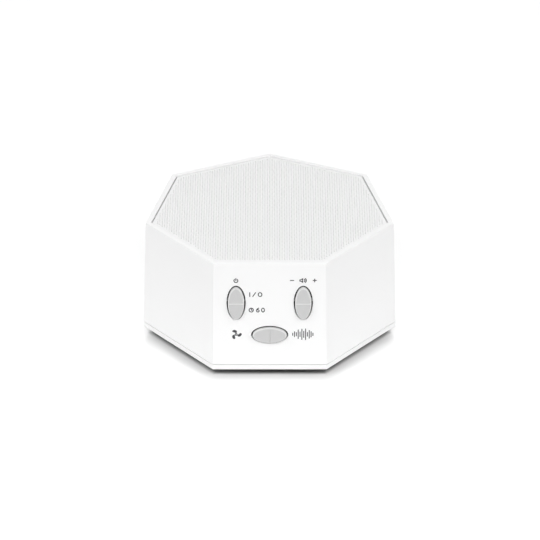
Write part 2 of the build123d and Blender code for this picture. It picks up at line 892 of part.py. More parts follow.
def dc_jack_pin():
    """The socket's middle contact: a thick root in the body and a thin pin in the bore."""
    back = jack_front() - jack_length
    tip = nose_end() - jack_pin_setback
    pin = along_jack(jack_pin_root_radius, back, jack_hollow_start())
    pin += along_jack(jack_pin_radius, jack_hollow_start(), tip)
    pin += along_jack(jack_pin_collar_radius, back - jack_pin_collar, back)
    tail = block(jack_pin_collar, jack_pin_radius * 2, board_top, jack_axis)
    return pin + jack_turn * Pos(back - jack_pin_collar / 2, 0, 0) * tail


def dc_jack_spring():
    """The leaf that touches the plug's sleeve, along the body's side."""
    length = jack_length - 2 * jack_spring_setback
    leaf = block(length, jack_spring_thickness, board_top, board_top + jack_spring_width)
    side = (jack_width + jack_spring_thickness) / 2
    return jack_turn * Pos(jack_front() - jack_length / 2, side, 0) * leaf


def sound_chip():
    return block(chip_side, chip_side, board_top, board_top + chip_thickness)


def amplifier_chip():
    chip = block(amplifier_length, amplifier_width, board_top, board_top + chip_thickness)
    return Pos(-chip_side, chip_side + amplifier_width / 2, 0) * chip


def capacitors():
    can = disc(capacitor_radius, board_top, board_top + capacitor_height)
    return [
        Pos(capacitor_offset, side * capacitor_spacing / 2, 0) * can for side in (-1, 1)
    ]


def ribbon_sockets():
    on_main = Pos(0, -main_socket_offset, 0) * block(
        socket_width, socket_depth, board_top, board_top + socket_height
    )
    back = -board_back_depth
    on_control = front * Pos(0, control_socket_row, 0) * block(
        socket_width, socket_depth, back - socket_height, back
    )
    return [on_main, on_control]


def ribbon_cable():
    """Flat cable from the control board's socket down and in to the main board."""
    drop = front * Pos(0, control_socket_row - socket_depth / 2, -board_back_depth - socket_height / 2)
    y = drop.position.Y
    top = drop.position.Z - ribbon_thickness
    end = -main_socket_offset - socket_depth / 2 - ribbon_thickness
    level = board_top + socket_height / 2
    outside = ribbon_bend + ribbon_thickness / 2
    inside = ribbon_bend - ribbon_thickness / 2
    half = ribbon_thickness / 2
    corner = (y + ribbon_bend, level + ribbon_bend)
    outer_arc = RadiusArc((corner[0] - outside, corner[1]), (corner[0], corner[1] - outside), -outside)
    inner_arc = RadiusArc((corner[0] - inside, corner[1]), (corner[0], corner[1] - inside), -inside)
    outline = make_face(
        Curve()
        + [
            outer_arc,
            Line((corner[0], level - half), (end, level - half)),
            Line((end, level - half), (end, level + half)),
            Line((end, level + half), (corner[0], level + half)),
            inner_arc,
            Line((y + half, corner[1]), (y + half, top)),
            Line((y + half, top), (y - half, top)),
            Line((y - half, top), (y - half, corner[1])),
        ]
    )
    return extrude(Plane.YZ * outline, amount=ribbon_width / 2, both=True)


def speaker_header():
    return Pos(-tag_reach, 0, 0) * block(
        header_length, header_width, board_top, board_top + header_height
    )


def speaker_leads():
    """Two leads from the terminal tags straight down to the header under them."""
    lead = disc(lead_radius, board_top + header_height, tag_low)
    return [Pos(-tag_reach, side * tag_spacing / 2, 0) * lead for side in (-1, 1)]


# ---------------------------------------------------------------- writing
def write(name, shape):
    """One STEP for a node: a solid, or a group of separate solids."""
    pieces = shape if isinstance(shape, list) else [shape]
    place = Pos(0, axis_offset, 0)
    solids = [place * solid for piece in pieces for solid in piece.solids()]
    whole = solids[0] if len(solids) == 1 else Compound(children=solids)
    export_step(whole, f"parts/{name}.step")


nodes = {
    "housing": housing,
    "base_cover": base_cover,
    "rubber_feet": rubber_feet,
    "base_screws": base_screws,
    "speaker_grille": speaker_grille,
    "grille_cloth": grille_cloth,
    "speaker_basket": speaker_basket,
    "speaker_gasket": speaker_gasket,
    "speaker_top_plate": speaker_top_plate,
    "speaker_magnet": speaker_magnet,
    "speaker_yoke": speaker_yoke,
    "coil_former": coil_former,
    "voice_coil": voice_coil,
    "speaker_cone": speaker_cone,
    "dust_cap": dust_cap,
    "speaker_surround": speaker_surround,
    "speaker_spider": speaker_spider,
    "speaker_terminals": speaker_terminals,
    "speaker_tags": speaker_tags,
    "speaker_screws": speaker_screws,
    "button_carrier": button_carrier,
    "button_keypad": button_keypad,
    "control_board": control_board,
    "control_board_screws": control_board_screws,
    "main_board": main_board,
    "main_board_screws": main_board_screws,
    "dc_jack_body": dc_jack_body,
    "dc_jack_pin": dc_jack_pin,
    "dc_jack_spring": dc_jack_spring,
    "sound_chip": sound_chip,
    "amplifier_chip": amplifier_chip,
    "capacitors": capacitors,
    "ribbon_sockets": ribbon_sockets,
    "ribbon_cable": ribbon_cable,
    "speaker_header": speaker_header,
    "speaker_leads": speaker_leads,
}

os.makedirs("parts", exist_ok=True)
for name, make in nodes.items():
    write(name, make())
for name, place in rocker_places.items():
    write(name, place * rocker())
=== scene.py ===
import json
import math
from math import cos, radians, sin

import bmesh
import bpy
from mathutils import Matrix, Vector


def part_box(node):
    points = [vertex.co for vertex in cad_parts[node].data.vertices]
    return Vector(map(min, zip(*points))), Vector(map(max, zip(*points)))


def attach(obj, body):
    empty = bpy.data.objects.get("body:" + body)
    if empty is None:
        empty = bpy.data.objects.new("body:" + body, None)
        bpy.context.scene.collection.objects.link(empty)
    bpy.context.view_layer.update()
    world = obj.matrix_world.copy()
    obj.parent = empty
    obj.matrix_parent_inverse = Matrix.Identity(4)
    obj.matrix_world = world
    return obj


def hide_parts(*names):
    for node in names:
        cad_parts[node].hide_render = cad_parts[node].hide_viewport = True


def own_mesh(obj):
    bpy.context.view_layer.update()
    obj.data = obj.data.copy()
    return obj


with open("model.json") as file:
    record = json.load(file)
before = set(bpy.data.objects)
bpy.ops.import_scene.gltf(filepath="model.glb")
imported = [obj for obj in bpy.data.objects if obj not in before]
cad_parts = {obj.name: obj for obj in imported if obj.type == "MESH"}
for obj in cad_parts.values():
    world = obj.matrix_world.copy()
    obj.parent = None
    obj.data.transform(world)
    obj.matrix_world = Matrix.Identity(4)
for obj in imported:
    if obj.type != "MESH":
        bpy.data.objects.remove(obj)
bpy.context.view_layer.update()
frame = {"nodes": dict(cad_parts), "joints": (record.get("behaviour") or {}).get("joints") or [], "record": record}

# A seven-sided sound machine on a white table. Lengths are in millimetres up to
# the point where a mesh or an object is made, and MM turns them into metres.
MM = 0.001

# ---------------------------------------------------------------- from the frame
def middle_of(node):
    low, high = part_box(node)
    return (low + high) / 2 / MM


SIDES = 7
HALF_STEP = math.pi / SIDES
SIDE_TURNS = [2 * HALF_STEP * n - math.pi / 2 for n in range(SIDES)]
SIDE_NORMALS = [Vector((cos(turn), sin(turn))) for turn in SIDE_TURNS]
DRAFT = radians(1.64)
OUTWARD = Vector((0, -cos(DRAFT), sin(DRAFT)))  # square to the front facet
PANEL_FOOT = 6.3  # height of the facets' lower edge
axis_y = middle_of("speaker_magnet").y
panel_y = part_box("housing")[0].y / MM
housing_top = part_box("housing")[1].z / MM
grille_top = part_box("speaker_grille")[1].z / MM
grille_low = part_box("grille_cloth")[1].z / MM
grille_front = axis_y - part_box("speaker_grille")[0].y / MM


def panel_point(x, up, out=0.0):
    """A point on the front facet, from its place along, up and out of the facet."""
    y = panel_y + up * sin(DRAFT) - out * cos(DRAFT)
    z = PANEL_FOOT + up * cos(DRAFT) + out * sin(DRAFT)
    return Vector((x, y, z))


# ---------------------------------------------------------------- camera
PHOTO_SIZE = 540  # pixels
SENSOR_WIDTH = 36
CLIP_RANGE = (0.05, 50)  # metres
VIEW_ELEVATION = radians(28.16)
VIEW_DISTANCE = 1866.0
FOCAL_PIXELS = 4198.5
AIM_PIXEL = (269.67, 259.03)  # where the aimed point lies in the photograph
AIM_HEIGHT = housing_top - 24.7


def add_camera():
    aim = Vector((0, axis_y, AIM_HEIGHT))
    back = Vector((0, -cos(VIEW_ELEVATION), sin(VIEW_ELEVATION)))
    data = bpy.data.cameras.new("camera")
    data.sensor_width = SENSOR_WIDTH
    data.lens = FOCAL_PIXELS * SENSOR_WIDTH / PHOTO_SIZE
    data.shift_x = (PHOTO_SIZE / 2 - AIM_PIXEL[0]) / PHOTO_SIZE
    data.shift_y = (AIM_PIXEL[1] - PHOTO_SIZE / 2) / PHOTO_SIZE
    data.clip_start, data.clip_end = CLIP_RANGE
    camera = bpy.data.objects.new("camera", data)
    camera.location = (aim + back * VIEW_DISTANCE) * MM
    camera.rotation_euler = (math.pi / 2 - VIEW_ELEVATION, 0, 0)
    bpy.context.scene.collection.objects.link(camera)
    bpy.context.scene.camera = camera


# ---------------------------------------------------------------- materials
NOISE_DETAIL = 3
WAVES_PER_UNIT = 3.2  # of a wave texture whose scale is 1
WEAVE_DISTORTION = 0.4
WEAVE_GAP_TONE = 0.8  # between the threads
CLOTH_ROUGHNESS = 0.85
CLOTH_SHEEN = 0.3


def grey(level):
    return (level, level, level)


def new_material(name):
    material = bpy.data.materials.new(name)
    material.use_nodes = True
    nodes = material.node_tree.nodes
    return material, nodes, material.node_tree.links, nodes["Principled BSDF"]


def grained(
    name,
    colour,
    roughness,
    grain=0.4,
    spread=0.03,
    bump=0.004,
    shade=0.02,
    metallic=0.0,
):
    """A moulded, painted or cast finish: a fine grain in height, gloss and tone.

    Spread is how far the roughness strays to either side, and shade the colour.
    """
    material, nodes, links, shader = new_material(name)
    place = nodes.new("ShaderNodeTexCoord")
    noise = nodes.new("ShaderNodeTexNoise")
    noise.inputs["Scale"].default_value = 1 / (grain * MM)
    noise.inputs["Detail"].default_value = NOISE_DETAIL
    links.new(place.outputs["Object"], noise.inputs["Vector"])
    gloss = nodes.new("ShaderNodeMapRange")
    gloss.inputs["To Min"].default_value = roughness - spread
    gloss.inputs["To Max"].default_value = roughness + spread
    links.new(noise.outputs["Fac"], gloss.inputs["Value"])
    links.new(gloss.outputs["Result"], shader.inputs["Roughness"])
    tone = nodes.new("ShaderNodeMix")
    tone.data_type = "RGBA"
    tone.inputs["A"].default_value = (*[c * (1 - shade) for c in colour], 1)
    tone.inputs["B"].default_value = (*[min(1, c * (1 + shade)) for c in colour], 1)
    links.new(noise.outputs["Fac"], tone.inputs["Factor"])
    links.new(tone.outputs["Result"], shader.inputs["Base Color"])
    relief = nodes.new("ShaderNodeBump")
    relief.inputs["Distance"].default_value = bump * MM
    links.new(noise.outputs["Fac"], relief.inputs["Height"])
    links.new(relief.outputs["Normal"], shader.inputs["Normal"])
    shader.inputs["Metallic"].default_value = metallic
    return material


def paint_light_and_shade(material, painted_light, painted_shade):
    """Mixes a painted highlight colour and a painted shade colour into a finish, by the mesh's tone attribute."""
    nodes, links = material.node_tree.nodes, material.node_tree.links
    base = nodes["Principled BSDF"].inputs["Base Color"]
    tone = nodes.new("ShaderNodeAttribute")
    tone.attribute_name = "tone"
    for colour, sign in ((painted_light, 1), (painted_shade, -1)):
        share = nodes.new("ShaderNodeMath")
        share.operation = "MULTIPLY"
        share.use_clamp = True
        share.inputs[1].default_value = sign
        links.new(tone.outputs["Fac"], share.inputs[0])
        mix = nodes.new("ShaderNodeMix")
        mix.data_type = "RGBA"
        mix.inputs["B"].default_value = (*colour, 1)
        links.new(share.outputs["Value"], mix.inputs["Factor"])
        links.new(base.links[0].from_socket, mix.inputs["A"])
        links.new(mix.outputs["Result"], base)


def woven(name, colour, thread=0.35, depth=0.06):
    """A plain weave: two crossed sets of threads, with a soft sheen."""
    material, nodes, links, shader = new_material(name)
    place = nodes.new("ShaderNodeTexCoord")
    height = None
    for direction in ("X", "Y"):
        wave = nodes.new("ShaderNodeTexWave")
        wave.bands_direction = direction
        wave.inputs["Scale"].default_value = 1 / (thread * MM) / WAVES_PER_UNIT
        wave.inputs["Distortion"].default_value = WEAVE_DISTORTION
        links.new(place.outputs["Object"], wave.inputs["Vector"])
        if height is None:
            height = wave.outputs["Fac"]
        else:
            both = nodes.new("ShaderNodeMath")
            both.operation = "MAXIMUM"
            links.new(height, both.inputs[0])
            links.new(wave.outputs["Fac"], both.inputs[1])
            height = both.outputs["Value"]
    tone = nodes.new("ShaderNodeMix")
    tone.data_type = "RGBA"
    tone.inputs["A"].default_value = (*[c * WEAVE_GAP_TONE for c in colour], 1)
    tone.inputs["B"].default_value = (*colour, 1)
    links.new(height, tone.inputs["Factor"])
    links.new(tone.outputs["Result"], shader.inputs["Base Color"])
    relief = nodes.new("ShaderNodeBump")
    relief.inputs["Distance"].default_value = depth * MM
    links.new(height, relief.inputs["Height"])
    links.new(relief.outputs["Normal"], shader.inputs["Normal"])
    shader.inputs["Roughness"].default_value = CLOTH_ROUGHNESS
    shader.inputs["Sheen Weight"].default_value = CLOTH_SHEEN
    return material


materials = {
    "white_abs": grained("white_abs", grey(0.9), 0.42, grain=0.25, bump=0.003, shade=0.004),
    "white_sheet": grained("white_sheet", grey(0.88), 0.5, grain=0.15, shade=0.01),
    "white_cloth": woven("white_cloth", grey(0.9)),
    "grey_abs": grained("grey_abs", grey(0.56), 0.26, grain=0.2, bump=0.002, shade=0.01),
    "foot_rubber": grained("foot_rubber", grey(0.03), 0.8, grain=0.2, bump=0.02, shade=0.2),
    "black_abs": grained("black_abs", grey(0.012), 0.4, shade=0.1),
    "silicone": grained("silicone", (0.35, 0.37, 0.4), 0.55, shade=0.05),
    "board_green": grained("board_green", (0.01, 0.12, 0.04), 0.3, grain=1.5, shade=0.3),
    "chip_black": grained("chip_black", grey(0.01), 0.6, shade=0.1),
    "can_aluminium": grained("can_aluminium", (0.75, 0.76, 0.78), 0.3, metallic=1.0),
    "natural_nylon": grained("natural_nylon", (0.72, 0.68, 0.55), 0.5),
    "ribbon_white": grained("ribbon_white", (0.75, 0.78, 0.82), 0.3),
    "lead_red": grained("lead_red", (0.4, 0.01, 0.01), 0.35),
    "steel": grained("steel", (0.6, 0.6, 0.62), 0.32, grain=0.3, spread=0.08, metallic=1.0),
    "basket_black": grained("basket_black", (0.012, 0.012, 0.014), 0.35, shade=0.1),
    "ferrite": grained("ferrite", (0.03, 0.03, 0.032), 0.65, grain=0.6, bump=0.02, shade=0.3),
    "copper": grained("copper", (0.7, 0.27, 0.12), 0.3, metallic=1.0),
    "former_foil": grained("former_foil", (0.6, 0.52, 0.36), 0.35, metallic=1.0),
    "cone_paper": grained("cone_paper", grey(0.02), 0.85, grain=0.5, bump=0.03, shade=0.3),
    "surround_rubber": grained("surround_rubber", grey(0.012), 0.6, shade=0.1),
    "spider_cloth": woven("spider_cloth", (0.55, 0.34, 0.1), thread=0.5),
    "gasket_foam": grained("gasket_foam", grey(0.02), 0.95, grain=0.4, bump=0.05, shade=0.3),
    "phenolic": grained("phenolic", (0.3, 0.13, 0.05), 0.4, shade=0.15),
    "plated_brass": grained("plated_brass", (0.72, 0.66, 0.5), 0.3, metallic=1.0),
    "pin_chrome": grained("pin_chrome", (0.75, 0.74, 0.7), 0.18, metallic=1.0),
    "print_ink": grained("print_ink", (0.045, 0.045, 0.05), 0.5, grain=0.1, shade=0.1),
}
# painted highlight on the caps' edges and ridges, painted shade on their sides inside the openings
paint_light_and_shade(materials["grey_abs"], painted_light=grey(0.74), painted_shade=grey(0.02))


def dress_cad_nodes():
    """Each CAD node gets the finish of its material slot."""
    slots = {part["node"]: part["material_slot"] for part in frame["record"]["subparts"]}
    for name, node in frame["nodes"].items():
        node.data.materials.clear()
        node.data.materials.append(materials[slots[name]])


# ---------------------------------------------------------------- mesh helpers
MERGE = 0.002  # vertices closer than this are one
ON_EDGE = 0.001  # vertices this near to a line or height lie on it
NEAR = 0.1  # the same, where a node's own mesh is searched


def add_piece(name, mesh, body, slot=None, material=None):
    """An object for a mesh in millimetres. It rides on a body."""
    if isinstance(mesh, bmesh.types.BMesh):
        data = bpy.data.meshes.new(name)
        mesh.to_mesh(data)
        mesh.free()
        mesh = data
    mesh.transform(Matrix.Scale(MM, 4))
    piece = bpy.data.objects.new(name, mesh)
    bpy.context.scene.collection.objects.link(piece)
    mesh.materials.append(material or materials[slot])
    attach(piece, body)
    return piece


def copied_mesh(node):
    """A copy of a node's mesh, in millimetres, for a piece that replaces the node."""
    mesh = frame["nodes"][node].data.copy()
    mesh.transform(Matrix.Scale(1 / MM, 4))
    mesh.materials.clear()
    return mesh


def welded_mesh(node):
    """The same with its split vertices joined, and so without the normals stored on them."""
    data = copied_mesh(node)
    data.attributes.remove(data.attributes["custom_normal"])
    mesh = bmesh.new()
    mesh.from_mesh(data)
    bmesh.ops.remove_doubles(mesh, verts=mesh.verts, dist=MERGE)
    return mesh


def ring_triangles(outer, inner, place=lambda item: item):
    """Triangles between two loops that both run round one centre, seen from above."""
    centre = sum((place(item) for item in inner), Vector((0, 0))) / len(inner)

    def turn(item):
        offset = place(item) - centre
        return math.atan2(offset.y, offset.x) % (2 * math.pi)

    outer = sorted(outer, key=turn)
    inner = sorted(inner, key=turn)
    i = j = 0
    while i < len(outer) or j < len(inner):
        step_out = turn(outer[i]) if i < len(outer) else math.inf
        step_in = turn(inner[j]) if j < len(inner) else math.inf
        if step_out <= step_in:
            yield outer[i - 1], outer[i], inner[j - 1]
            i += 1
        else:
            yield inner[j], inner[j - 1], outer[i - 1]
            j += 1


def smooth(piece, degrees=25):
    """Smooth shading, but for edges sharper than an angle."""
    piece.data.shade_smooth()
    piece.data.set_sharp_from_angle(angle=radians(degrees))


# ---------------------------------------------------------------- rocker buttons
CAP_SPANS = {  # half the length and half the width of each rocker's oval
    "power_button": (7.7, 3.55),
    "volume_button": (7.7, 3.55),
    "sound_button": (7.45, 3.7),
}
OUTLINE_POINTS = 80
PIVOT_DEPTH = 3.4  # of the trunnion, behind the panel's face
PROUD = 1.4
DIP = 0.2  # how far each half falls from its end to the middle
EDGE_ROUND = 0.5
ROUND_STEPS = 6
LID_RING = 0.3  # width of the flat ring inside the rounded edge
SKIRT = [  # heights up the straight side, with the tone there: shade painted on inside the opening, a highlight painted on above the panel
    (-PIVOT_DEPTH, -1.0),
    (-0.5, -1.0),
    (-0.1, 0.0),
    (PROUD - EDGE_ROUND, 1.0),
]
EDGE_HIGHLIGHT_SIDE = 1.0  # how strong the highlight painted on the rounded edge is at the sides, and on top
EDGE_HIGHLIGHT_TOP = 0.5
EDGE_HIGHLIGHT_FADE = 0.35  # over this much of the slope below the sides, the painted highlight fades to plain
RIDGE_HALF_WIDTH = 0.25
RIDGE_RISE = 0.25
RIDGE_STEPS = 24
RIDGE_SECTION = [(-1.0, -0.2), (-0.8, 0.62), (-0.4, 1.0), (0.4, 1.0), (0.8, 0.62), (1.0, -0.2)]
RIDGE_INSET = 0.35  # share of the rounded edge that it stops short of
RIDGE_END_RISE = 0.1  # share of its height that is left at its ends
RIDGE_HIGHLIGHT_UP = 0.9  # painted highlight, on a ridge that has an upper and a lower flank
RIDGE_HIGHLIGHT_SIDE = 0.2
LEG_ARM = 5.0
LEG_TIP = 7.0
LEG_SIZE = (2.0, 1.6)
TRUNNION_RADIUS = 0.8
TRUNNION_LENGTH = 10.6
TRUNNION_SIDES = 24


def rocker_joints():
    """Each tilting body, with the middle of its opening and its two directions."""
    for joint in frame["joints"]:
        if joint["type"] == "hinge":
            across = Vector(joint["axis"])
            place = Vector(joint["pos_m"]) / MM + OUTWARD * PIVOT_DEPTH
            yield joint["child"], place, across.cross(OUTWARD), across


def rocker_mesh(half_length, half_width, rise):
    """A rounded oval cap with a ridge across it, its trunnion and its two legs.

    Rise holds how much the cap's length and width point upwards. The tone of a vertex
    is above 0 where a highlight is painted on, and below 0 where shade is painted on.
    """
    mesh = bmesh.new()
    tone = mesh.verts.layers.float.new("tone")
    outline = []
    for n in range(OUTLINE_POINTS):
        turn = 2 * math.pi * n / OUTLINE_POINTS
        normal = Vector((half_width * cos(turn), half_length * sin(turn))).normalized()
        outline.append((Vector((half_length * cos(turn), half_width * sin(turn))), normal))
    # the side inside the opening gets painted shade, and above the panel it gets a painted highlight
    rings = [(0.0, height, painted_light) for height, painted_light in SKIRT]
    for step in range(1, ROUND_STEPS + 1):
        angle = math.pi / 2 * step / ROUND_STEPS
        inset = EDGE_ROUND * (1 - cos(angle))
        # the rounded edge, all but its last ring, gets the painted highlight
        rings.append((inset, PROUD - EDGE_ROUND * (1 - sin(angle)), float(step < ROUND_STEPS)))
    rings.append((EDGE_ROUND + LID_RING, PROUD, 0.0))
    loops = []
    for inset, height, painted_light in rings:
        loop = []
        for point, normal in outline:
            p = point - normal * inset
            fall = DIP * (1 - abs(p.x) / half_length) if height > 0 else 0
            vertex = mesh.verts.new((p.x, p.y, height - fall))
            # a highlight painted on the rounded edge and the side above the panel, shade painted on inside the
            # opening
            vertex[tone] = painted_light * edge_highlight(normal, rise) if painted_light > 0 else painted_light
            loop.append(vertex)
        loops.append(loop)
    for lower, upper in zip(loops, loops[1:]):
        for n in range(OUTLINE_POINTS):
            m = (n + 1) % OUTLINE_POINTS
            mesh.faces.new((lower[n], lower[m], upper[m], upper[n]))
    mesh.faces.new(loops[0][::-1])
    close_top(mesh, loops[-1])
    upright = abs(rise.x) > abs(rise.y)
    add_ridge(mesh, tone, half_width, RIDGE_HIGHLIGHT_UP if upright else RIDGE_HIGHLIGHT_SIDE)
    for side in (-1, 1):
        size = Matrix.Diagonal((*LEG_SIZE, LEG_TIP - PIVOT_DEPTH + PROUD / 2, 1))
        middle = Matrix.Translation((side * LEG_ARM, 0, (-LEG_TIP - PIVOT_DEPTH + PROUD / 2) / 2))
        bmesh.ops.create_cube(mesh, size=1, matrix=middle @ size)
    bmesh.ops.create_cone(
        mesh,
        cap_ends=True,
        segments=TRUNNION_SIDES,
        radius1=TRUNNION_RADIUS,
        radius2=TRUNNION_RADIUS,
        depth=TRUNNION_LENGTH,
        matrix=Matrix.Translation((0, 0, -PIVOT_DEPTH)) @ Matrix.Rotation(math.pi / 2, 4, "X"),
    )
    return mesh


def edge_highlight(normal, rise):
    """How strong the highlight painted on the rounded edge is: plain below, strongest at the sides and less on
    top.
    """
    up = normal.dot(rise)
    start = min(1.0, max(0.0, (up + EDGE_HIGHLIGHT_FADE) / EDGE_HIGHLIGHT_FADE))
    return start * (EDGE_HIGHLIGHT_SIDE + (EDGE_HIGHLIGHT_TOP - EDGE_HIGHLIGHT_SIDE) * max(0.0, up))


def close_top(mesh, loop):
    """Strips across the top, between the points that face each other."""
    along = sorted(loop, key=lambda vertex: vertex.co.x)
    upper = [vertex for vertex in along if vertex.co.y > ON_EDGE]
    lower = [vertex for vertex in along if vertex.co.y < -ON_EDGE]
    ends = [vertex for vertex in along if abs(vertex.co.y) <= ON_EDGE]
    mesh.faces.new((ends[0], lower[0], upper[0]))
    for a, b, c, d in zip(lower, lower[1:], upper[1:], upper):
        mesh.faces.new((a, b, c, d))
    mesh.faces.new((lower[-1], ends[-1], upper[-1]))


def add_ridge(mesh, tone, half_width, painted_light):
    """A thin rounded line across the middle, down over the cap's rounded edges, with a highlight painted on it."""
    half = half_width - EDGE_ROUND * RIDGE_INSET
    flat = half_width - EDGE_ROUND
    loops = []
    for step in range(RIDGE_STEPS + 1):
        y = half * sin(math.pi * (step / RIDGE_STEPS - 0.5))
        over = max(0.0, abs(y) - flat)
        z = PROUD - DIP - EDGE_ROUND + math.sqrt(max(0.0, EDGE_ROUND**2 - over**2))
        rise = RIDGE_RISE * min(1.0, (half - abs(y)) / EDGE_ROUND + RIDGE_END_RISE)
        loop = [(x * RIDGE_HALF_WIDTH, y, z + h * rise) for x, h in RIDGE_SECTION]
        loops.append([mesh.verts.new(point) for point in loop])
        for vertex in loops[-1]:
            # the highlight painted on the ridge
            vertex[tone] = painted_light
    for a, b in zip(loops, loops[1:]):
        for n in range(len(RIDGE_SECTION)):
            m = (n + 1) % len(RIDGE_SECTION)
            mesh.faces.new((a[n], b[n], b[m], a[m]))
    mesh.faces.new(loops[0])
    mesh.faces.new(loops[-1][::-1])


def add_rockers():
    """One cap on each tilting body, placed by its joint's pivot and axis."""
    for body, place, along, across in rocker_joints():
        turn = Matrix((along, across, OUTWARD)).transposed().to_4x4()
        mesh = rocker_mesh(*CAP_SPANS[body], Vector((along.z, across.z)))
        bmesh.ops.transform(mesh, matrix=Matrix.Translation(place) @ turn, verts=mesh.verts)
        bmesh.ops.recalc_face_normals(mesh, faces=mesh.faces)
        piece = add_piece(f"{body}_cap", mesh, body, "grey_abs")
        smooth(piece, degrees=35)
        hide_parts(body.replace("_button", "_rocker"))


# ---------------------------------------------------------------- housing and base
CUT_SPAN = (8.3, 4.15)  # half the length and width of an opening in the frame's housing
CUT_DEPTH = 2.0  # the panel's wall
OPENING_GAP = 0.6  # between a cap and its opening
BASE_RINGS = [  # inset from the facets and height: in the frame, then as drawn here
    ((0.55, 5.9), (0.1, 5.9)),
    ((0.55, 3.8), (0.1, 3.75)),
    ((1.55, 2.8), (2.7, 2.8)),
]


def add_housing():
    """The housing, with the edges of its three openings drawn as true ellipses."""
    mesh = copied_mesh("housing")
    for body, place, along, across in rocker_joints():
        half_length, half_width = (half + OPENING_GAP for half in CAP_SPANS[body])
        for vertex in mesh.vertices:
            offset = vertex.co - place
            x, y, depth = offset.dot(along), offset.dot(across), -offset.dot(OUTWARD)
            if abs(x) > CUT_SPAN[0] + NEAR or abs(y) > CUT_SPAN[1] + NEAR:
                continue
            if -NEAR < depth < CUT_DEPTH + NEAR:
                turn = math.atan2(y / CUT_SPAN[1], x / CUT_SPAN[0])
                vertex.co += (half_length * cos(turn) - x) * along
                vertex.co += (half_width * sin(turn) - y) * across
    piece = add_piece("housing_shell", mesh, "casing", "white_abs")
    smooth(piece)
    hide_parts("housing")


def add_base():
    """The base cover, with its band out to the facets and undercut below."""
    mesh = copied_mesh("base_cover")
    foot = axis_y - panel_y
    for vertex in mesh.vertices:
        flat = Vector((vertex.co.x, vertex.co.y - axis_y))
        reach = max(flat.dot(normal) for normal in SIDE_NORMALS)
        for (inset, height), (new_inset, new_height) in BASE_RINGS:
            if abs(vertex.co.z - height) < NEAR and abs(reach - foot + inset) < NEAR:
                flat *= (foot - new_inset) / (foot - inset)
                vertex.co = (flat.x, flat.y + axis_y, new_height)
                break
    piece = add_piece("base_shell", mesh, "casing", "white_abs")
    smooth(piece)
    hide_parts("base_cover")


# ---------------------------------------------------------------- base screws
SCREW_REACH = 6.0  # beyond a head's own width, and short of the next screw
CROSS_ARM = 1.5  # half the length and half the width of a recess's two slots
CROSS_HALF_WIDTH = 0.32
CROSS_DEPTH = 1.1
CROSS_TAPER = 0.65  # size at the bottom


def cross_outline(centre, size=1.0):
    """The twelve corners of a cross."""
    arm, half = CROSS_ARM * size, CROSS_HALF_WIDTH * size
    quarter = [Vector((arm, -half)), Vector((arm, half)), Vector((half, half))]
    turns = [Matrix.Rotation(math.pi / 2 * n, 2) for n in range(4)]
    return [centre + turn @ point for turn in turns for point in quarter]


def add_base_screws():
    """The screws under the base, with a cross recess in each head."""
    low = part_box("base_screws")[0].z / MM
    mesh = welded_mesh("base_screws")
    flat = [face for face in mesh.faces if all(abs(v.co.z - low) < NEAR for v in face.verts)]
    bmesh.ops.delete(mesh, geom=flat, context="FACES")
    rims = [vertex for vertex in mesh.verts if abs(vertex.co.z - low) < NEAR]
    while rims:
        rim = [v for v in rims if (v.co - rims[0].co).length < SCREW_REACH]
        rims = [v for v in rims if v not in rim]
        centre = sum((v.co.xy for v in rim), Vector((0, 0))) / len(rim)
        edge = [mesh.verts.new((*point, low)) for point in cross_outline(centre)]
        deep = cross_outline(centre, CROSS_TAPER)
        deep = [mesh.verts.new((*point, low + CROSS_DEPTH)) for point in deep]
        for triangle in ring_triangles(rim, edge, lambda vertex: vertex.co.xy):
            mesh.faces.new(triangle)
        for n in range(len(edge)):
            mesh.faces.new((edge[n - 1], edge[n], deep[n], deep[n - 1]))
        mesh.faces.new(deep)
    bmesh.ops.recalc_face_normals(mesh, faces=mesh.faces)
    piece = add_piece("base_screw_set", mesh, "casing", "steel")
    smooth(piece)
    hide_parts("base_screws")


# ---------------------------------------------------------------- keypad
KEY_PARTS = [  # rocker, and the directions in which its part of the mat is cut off
    ("power", [(0, 0, -1), (1, 0, 0)]),
    ("volume", [(0, 0, -1), (-1, 0, 0)]),
    ("sound", [(0, 0, 1)]),
]


def add_keypad():
    """The silicone mat in three parts, one for each rocker."""
    heights = [joint["pos_m"][2] / MM for joint in frame["joints"] if joint["type"] == "hinge"]
    middle = (0, 0, (min(heights) + max(heights)) / 2)
    for rocker, directions in KEY_PARTS:
        mesh = welded_mesh("button_keypad")
        for direction in directions:
            everything = mesh.verts[:] + mesh.edges[:] + mesh.faces[:]
            bmesh.ops.bisect_plane(
                mesh, geom=everything, plane_co=middle, plane_no=direction, clear_outer=True
            )
            open_edges = [edge for edge in mesh.edges if edge.is_boundary]
            bmesh.ops.holes_fill(mesh, edges=open_edges)
        bmesh.ops.recalc_face_normals(mesh, faces=mesh.faces)
        piece = add_piece(f"{rocker}_keys", mesh, "casing", "silicone")
        smooth(piece)
        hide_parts("button_keypad")
        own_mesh(piece)


# ---------------------------------------------------------------- cone's soft rings
SOFT_RINGS = [  # node, piece, slot, side that stays (0 low, 1 high), height left at full travel
    ("speaker_surround", "surround_roll", "surround_rubber", 1, 0.4),
    ("speaker_spider", "spider_waves", "spider_cloth", 0, 0.25),
]


def add_soft_rings():
    """The two soft rings that hold the cone."""
    for node, name, slot, side, keep in SOFT_RINGS:
        piece = add_piece(name, welded_mesh(node), "casing", slot)
        smooth(piece)
        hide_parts(node)
        anchor = (0, axis_y * MM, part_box(node)[side].z)
        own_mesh(piece)


